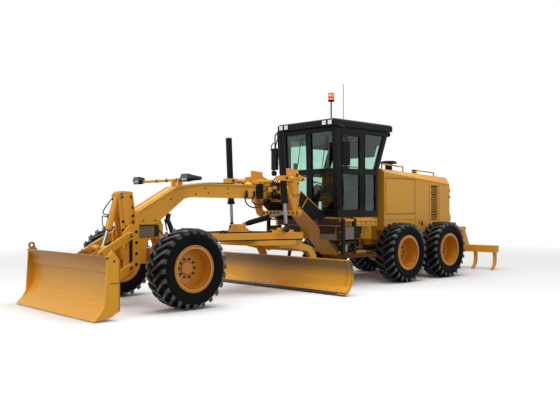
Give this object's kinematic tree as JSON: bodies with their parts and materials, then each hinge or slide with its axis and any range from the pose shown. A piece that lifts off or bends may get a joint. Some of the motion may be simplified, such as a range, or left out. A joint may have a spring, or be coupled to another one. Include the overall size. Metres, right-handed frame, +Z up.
{
  "type": "motor grader",
  "caption": "Articulated motor grader with cab, circle-mounted moldboard, front dozer blade and rear ripper, shown parked.",
  "frame": {"origin": "on the floor under the middle of the whole machine", "axes": "+X forward, +Y to the machine's left, +Z up"},
  "size_m": [10.952, 3.658, 4.2511],
  "materials": {
    "yellow_paint": "semi-gloss yellow enamel",
    "black_paint": "satin black enamel",
    "rim_paint": "semi-gloss yellow enamel",
    "tyre_rubber": "matt black rubber",
    "chrome_rod": "hard chrome, polished",
    "bare_steel": "machined steel",
    "engine_casting": "painted casting",
    "seat_fabric": "dark woven seat cover and moulded consoles"
  },
  "bodies": {
    "rear": {"rear_frame": "yellow_paint", "tandem_axle": "yellow_paint", "hood": "yellow_paint", "engine_block": "engine_casting"},
    "front": {"front_frame": "yellow_paint", "lift_saddle": "yellow_paint", "front_axle": "yellow_paint", "dozer_tower": "yellow_paint", "cab": "black_paint", "cab_roof": "black_paint", "operator_station": "seat_fabric"},
    "drawbar_ball": {"drawbar_ball": "bare_steel"},
    "drawbar": {"drawbar": "yellow_paint"},
    "circle": {"circle": "yellow_paint"},
    "tip_bracket": {"tip_bracket": "yellow_paint"},
    "moldboard": {"moldboard": "yellow_paint"},
    "tip_barrel": {"tip_barrel": "black_paint"},
    "tip_rod": {"tip_rod": "chrome_rod"},
    "shift_rod": {"shift_rod": "chrome_rod"},
    "shift_barrel": {"shift_barrel": "black_paint"},
    "dozer_lower_arms": {"dozer_lower_arms": "yellow_paint"},
    "dozer_upper_arms": {"dozer_upper_arms": "yellow_paint"},
    "dozer_blade": {"dozer_blade": "yellow_paint"},
    "dozer_barrel": {"dozer_barrel": "yellow_paint"},
    "dozer_rod": {"dozer_rod": "chrome_rod"},
    "ripper_lower_links": {"ripper_lower_links": "yellow_paint"},
    "ripper_upper_links": {"ripper_upper_links": "yellow_paint"},
    "ripper_beam": {"ripper_beam": "yellow_paint"},
    "ripper_barrel": {"ripper_barrel": "black_paint"},
    "ripper_rod": {"ripper_rod": "chrome_rod"},
    "hood_door_left": {"hood_door_left": "yellow_paint"},
    "door_left": {"door_left": "black_paint"},
    "lean_carrier_left": {"lean_carrier_left": "yellow_paint"},
    "knuckle_left": {"knuckle_left": "yellow_paint"},
    "lift_yoke_left": {"lift_yoke_left": "yellow_paint"},
    "lift_barrel_left": {"lift_barrel_left": "black_paint"},
    "lift_rod_left": {"lift_rod_left": "chrome_rod"},
    "artic_barrel_left": {"artic_barrel_left": "black_paint"},
    "artic_rod_left": {"artic_rod_left": "chrome_rod"},
    "wheel_front_left": {"rim_front_left": "rim_paint", "tyre_front_left": "tyre_rubber"},
    "wheel_tandem_front_left": {"rim_tandem_front_left": "rim_paint", "tyre_tandem_front_left": "tyre_rubber"},
    "wheel_tandem_rear_left": {"rim_tandem_rear_left": "rim_paint", "tyre_tandem_rear_left": "tyre_rubber"},
    "hood_door_right": {"hood_door_right": "yellow_paint"},
    "door_right": {"door_right": "black_paint"},
    "lean_carrier_right": {"lean_carrier_right": "yellow_paint"},
    "knuckle_right": {"knuckle_right": "yellow_paint"},
    "lift_yoke_right": {"lift_yoke_right": "yellow_paint"},
    "lift_barrel_right": {"lift_barrel_right": "black_paint"},
    "lift_rod_right": {"lift_rod_right": "chrome_rod"},
    "artic_barrel_right": {"artic_barrel_right": "black_paint"},
    "artic_rod_right": {"artic_rod_right": "chrome_rod"},
    "wheel_front_right": {"rim_front_right": "rim_paint", "tyre_front_right": "tyre_rubber"},
    "wheel_tandem_front_right": {"rim_tandem_front_right": "rim_paint", "tyre_tandem_front_right": "tyre_rubber"},
    "wheel_tandem_rear_right": {"rim_tandem_rear_right": "rim_paint", "tyre_tandem_rear_right": "tyre_rubber"}
  },
  "joints": [
    {"name": "articulation", "type": "hinge", "parent": "rear", "child": "front", "pos_m": [-1.296, 0, 0.8], "axis": [0, 0, 1], "range_deg": [-20, 20]},
    {"name": "hood_door_left_hinge", "type": "hinge", "parent": "rear", "child": "hood_door_left", "pos_m": [-1.582, 0.65, 1.76], "axis": [0, 0, -1], "range_deg": [0, 90]},
    {"name": "hood_door_right_hinge", "type": "hinge", "parent": "rear", "child": "hood_door_right", "pos_m": [-1.582, -0.65, 1.76], "axis": [0, 0, 1], "range_deg": [0, 90]},
    {"name": "door_left_hinge", "type": "hinge", "parent": "front", "child": "door_left", "pos_m": [-0.676, 0.746, 2.2], "axis": [0, 0, 1], "range_deg": [0, 85]},
    {"name": "door_right_hinge", "type": "hinge", "parent": "front", "child": "door_right", "pos_m": [-0.676, -0.746, 2.2], "axis": [0, 0, -1], "range_deg": [0, 85]},
    {"name": "spin_tandem_front_left", "type": "hinge", "parent": "rear", "child": "wheel_tandem_front_left", "pos_m": [-1.565, 1.04, 0.61], "axis": [0, 1, 0], "continuous": true},
    {"name": "spin_tandem_front_right", "type": "hinge", "parent": "rear", "child": "wheel_tandem_front_right", "pos_m": [-1.565, -1.04, 0.61], "axis": [0, 1, 0], "continuous": true},
    {"name": "spin_tandem_rear_left", "type": "hinge", "parent": "rear", "child": "wheel_tandem_rear_left", "pos_m": [-3.087, 1.04, 0.61], "axis": [0, 1, 0], "continuous": true},
    {"name": "spin_tandem_rear_right", "type": "hinge", "parent": "rear", "child": "wheel_tandem_rear_right", "pos_m": [-3.087, -1.04, 0.61], "axis": [0, 1, 0], "continuous": true},
    {"name": "lean_left", "type": "hinge", "parent": "front", "child": "lean_carrier_left", "pos_m": [3.813, 0.69, 0.56], "axis": [1, 0, 0], "range_deg": [-18, 18]},
    {"name": "steer_left", "type": "hinge", "parent": "lean_carrier_left", "child": "knuckle_left", "pos_m": [3.813, 0.815, 0.61], "axis": [0, 0, 1], "range_deg": [-47.5, 47.5]},
    {"name": "spin_front_left", "type": "hinge", "parent": "knuckle_left", "child": "wheel_front_left", "pos_m": [3.813, 1.04, 0.61], "axis": [0, 1, 0], "continuous": true},
    {"name": "lean_right", "type": "hinge", "parent": "front", "child": "lean_carrier_right", "pos_m": [3.813, -0.69, 0.56], "axis": [1, 0, 0], "range_deg": [-18, 18]},
    {"name": "steer_right", "type": "hinge", "parent": "lean_carrier_right", "child": "knuckle_right", "pos_m": [3.813, -0.815, 0.61], "axis": [0, 0, 1], "range_deg": [-47.5, 47.5]},
    {"name": "spin_front_right", "type": "hinge", "parent": "knuckle_right", "child": "wheel_front_right", "pos_m": [3.813, -1.04, 0.61], "axis": [0, 1, 0], "continuous": true},
    {"name": "artic_barrel_left_pivot", "type": "hinge", "parent": "rear", "child": "artic_barrel_left", "pos_m": [-1.766, 0.44, 0.7], "axis": [0, 0, 1], "range_deg": [-12.91, 12.91]},
    {"name": "artic_rod_left_slide", "type": "slide", "parent": "artic_barrel_left", "child": "artic_rod_left", "axis": [0.9994, -0.0336, 0], "range_m": [-0.15716, 0.15716]},
    {"name": "artic_barrel_right_pivot", "type": "hinge", "parent": "rear", "child": "artic_barrel_right", "pos_m": [-1.766, -0.44, 0.7], "axis": [0, 0, 1], "range_deg": [-12.91, 12.91]},
    {"name": "artic_rod_right_slide", "type": "slide", "parent": "artic_barrel_right", "child": "artic_rod_right", "axis": [0.9994, 0.0336, 0], "range_m": [-0.15716, 0.15716]},
    {"name": "drawbar_swing", "type": "hinge", "parent": "front", "child": "drawbar_ball", "pos_m": [3.564, 0, 0.76], "axis": [0, 0, 1], "range_deg": [-6, 4]},
    {"name": "drawbar_lift", "type": "hinge", "parent": "drawbar_ball", "child": "drawbar", "pos_m": [3.564, 0, 0.76], "axis": [0, 1, 0], "range_deg": [-16, 8.5]},
    {"name": "circle_turn", "type": "hinge", "parent": "drawbar", "child": "circle", "pos_m": [1.374, 0, 0.9], "axis": [0, 0, -1], "continuous": true},
    {"name": "blade_tip", "type": "hinge", "parent": "circle", "child": "tip_bracket", "pos_m": [0.734, 0, 0.23], "axis": [0, 1, 0], "range_deg": [-5, 40]},
    {"name": "blade_side_shift", "type": "slide", "parent": "tip_bracket", "child": "moldboard", "axis": [0, 1, 0], "range_m": [-0.66, 0.51]},
    {"name": "lift_yoke_left_pivot", "type": "hinge", "parent": "front", "child": "lift_yoke_left", "pos_m": [1.509, 0.741, 2.05], "axis": [1, 0, 0], "range_deg": [-10.11, 14.67]},
    {"name": "lift_barrel_left_pivot", "type": "hinge", "parent": "lift_yoke_left", "child": "lift_barrel_left", "pos_m": [1.509, 0.741, 2.05], "axis": [0, 1, 0], "range_deg": [-1.17, 1.31]},
    {"name": "lift_barrel_left_slide", "type": "slide", "parent": "lift_barrel_left", "child": "lift_rod_left", "axis": [-0.0632, 0.0233, -0.9977], "range_m": [-0.32593, 0.60468]},
    {"name": "lift_yoke_right_pivot", "type": "hinge", "parent": "front", "child": "lift_yoke_right", "pos_m": [1.509, -0.741, 2.05], "axis": [1, 0, 0], "range_deg": [-10.32, 14.98]},
    {"name": "lift_barrel_right_pivot", "type": "hinge", "parent": "lift_yoke_right", "child": "lift_barrel_right", "pos_m": [1.509, -0.741, 2.05], "axis": [0, 1, 0], "range_deg": [-1.17, 1.31]},
    {"name": "lift_barrel_right_slide", "type": "slide", "parent": "lift_barrel_right", "child": "lift_rod_right", "axis": [-0.0632, -0.0233, -0.9977], "range_m": [-0.32593, 0.60468]},
    {"name": "shift_rod_pivot", "type": "hinge", "parent": "front", "child": "shift_rod", "pos_m": [0.984, 0.2, 1.43], "axis": [0.9806, 0.1961, 0], "range_deg": [-21.57, 39.72]},
    {"name": "shift_barrel_slide", "type": "slide", "parent": "shift_rod", "child": "shift_barrel", "axis": [0.1909, -0.9543, -0.2301], "range_m": [-0.27518, 0.18512]},
    {"name": "tip_barrel_pivot", "type": "hinge", "parent": "circle", "child": "tip_barrel", "pos_m": [0.614, 0, 0.72], "axis": [0, 1, 0], "range_deg": [-21.86, 3.61]},
    {"name": "tip_barrel_slide", "type": "slide", "parent": "tip_barrel", "child": "tip_rod", "axis": [0.2272, 0, -0.9738], "range_m": [-0.0172, 0.06762]},
    {"name": "dozer_lift", "type": "hinge", "parent": "front", "child": "dozer_lower_arms", "pos_m": [4.324, 0, 0.595], "axis": [0, -1, 0], "range_deg": [-15, 38]},
    {"name": "dozer_upper_pivot", "type": "hinge", "parent": "front", "child": "dozer_upper_arms", "pos_m": [4.324, 0, 1.094], "axis": [0, -1, 0], "range_deg": [-15, 38]},
    {"name": "dozer_blade_pivot", "type": "hinge", "parent": "dozer_lower_arms", "child": "dozer_blade", "pos_m": [4.824, 0, 0.329], "axis": [0, -1, 0], "range_deg": [-38, 15]},
    {"name": "dozer_barrel_pivot", "type": "hinge", "parent": "front", "child": "dozer_barrel", "pos_m": [4.382, 0, 1.74], "axis": [0, 1, 0], "range_deg": [-14.67, 6.39]},
    {"name": "dozer_barrel_slide", "type": "slide", "parent": "dozer_barrel", "child": "dozer_rod", "axis": [0.3038, 0, -0.9527], "range_m": [-0.21038, 0.0891]},
    {"name": "ripper_lift", "type": "hinge", "parent": "rear", "child": "ripper_lower_links", "pos_m": [-4.406, 0, 0.47], "axis": [0, 1, 0], "range_deg": [-30, 28]},
    {"name": "ripper_upper_pivot", "type": "hinge", "parent": "rear", "child": "ripper_upper_links", "pos_m": [-4.406, 0, 1.01], "axis": [0, 1, 0], "range_deg": [-30, 28]},
    {"name": "ripper_beam_pivot", "type": "hinge", "parent": "ripper_lower_links", "child": "ripper_beam", "pos_m": [-5.176, 0, 0.47], "axis": [0, 1, 0], "range_deg": [-28, 30]},
    {"name": "ripper_barrel_pivot", "type": "hinge", "parent": "rear", "child": "ripper_barrel", "pos_m": [-4.376, 0, 1.12], "axis": [0, 1, 0], "range_deg": [-10.87, 10.21]},
    {"name": "ripper_barrel_slide", "type": "slide", "parent": "ripper_barrel", "child": "ripper_rod", "axis": [-0.6733, 0, -0.7393], "range_m": [-0.20865, 0.22284]}
  ],
  "couplings": [
    {"joint": "lean_right", "follows": "lean_left", "ratio": 1},
    {"joint": "steer_right", "follows": "steer_left", "ratio": 1},
    {"joint": "artic_barrel_left_pivot", "follows": "articulation", "ratio": 0.5955},
    {"joint": "artic_rod_left_slide", "follows": "articulation", "m_per_rad": -0.42158},
    {"joint": "artic_barrel_right_pivot", "follows": "articulation", "ratio": 0.5955},
    {"joint": "artic_rod_right_slide", "follows": "articulation", "m_per_rad": 0.42158},
    {"joint": "lift_yoke_left_pivot", "follows": "drawbar_swing", "ratio": -2.2784},
    {"joint": "lift_barrel_left_pivot", "follows": "drawbar_lift", "ratio": -0.019526},
    {"joint": "lift_barrel_left_slide", "follows": "drawbar_lift", "m_per_rad": -2.1296},
    {"joint": "lift_yoke_right_pivot", "follows": "drawbar_swing", "ratio": -2.3307},
    {"joint": "lift_barrel_right_pivot", "follows": "drawbar_lift", "ratio": -0.019526},
    {"joint": "lift_barrel_right_slide", "follows": "drawbar_lift", "m_per_rad": -2.1296},
    {"joint": "shift_rod_pivot", "follows": "drawbar_lift", "ratio": -2.42},
    {"joint": "shift_barrel_slide", "follows": "drawbar_swing", "m_per_rad": 2.58},
    {"joint": "tip_barrel_pivot", "follows": "blade_tip", "ratio": -0.52151},
    {"joint": "tip_barrel_slide", "follows": "blade_tip", "m_per_rad": 0.082541},
    {"joint": "dozer_upper_pivot", "follows": "dozer_lift", "ratio": 1},
    {"joint": "dozer_blade_pivot", "follows": "dozer_lift", "ratio": -1},
    {"joint": "dozer_barrel_pivot", "follows": "dozer_lift", "ratio": -0.35969},
    {"joint": "dozer_barrel_slide", "follows": "dozer_lift", "m_per_rad": -0.30213},
    {"joint": "ripper_upper_pivot", "follows": "ripper_lift", "ratio": 1},
    {"joint": "ripper_beam_pivot", "follows": "ripper_lift", "ratio": -1},
    {"joint": "ripper_barrel_pivot", "follows": "ripper_lift", "ratio": 0.32908},
    {"joint": "ripper_barrel_slide", "follows": "ripper_lift", "m_per_rad": -0.4065}
  ]
}
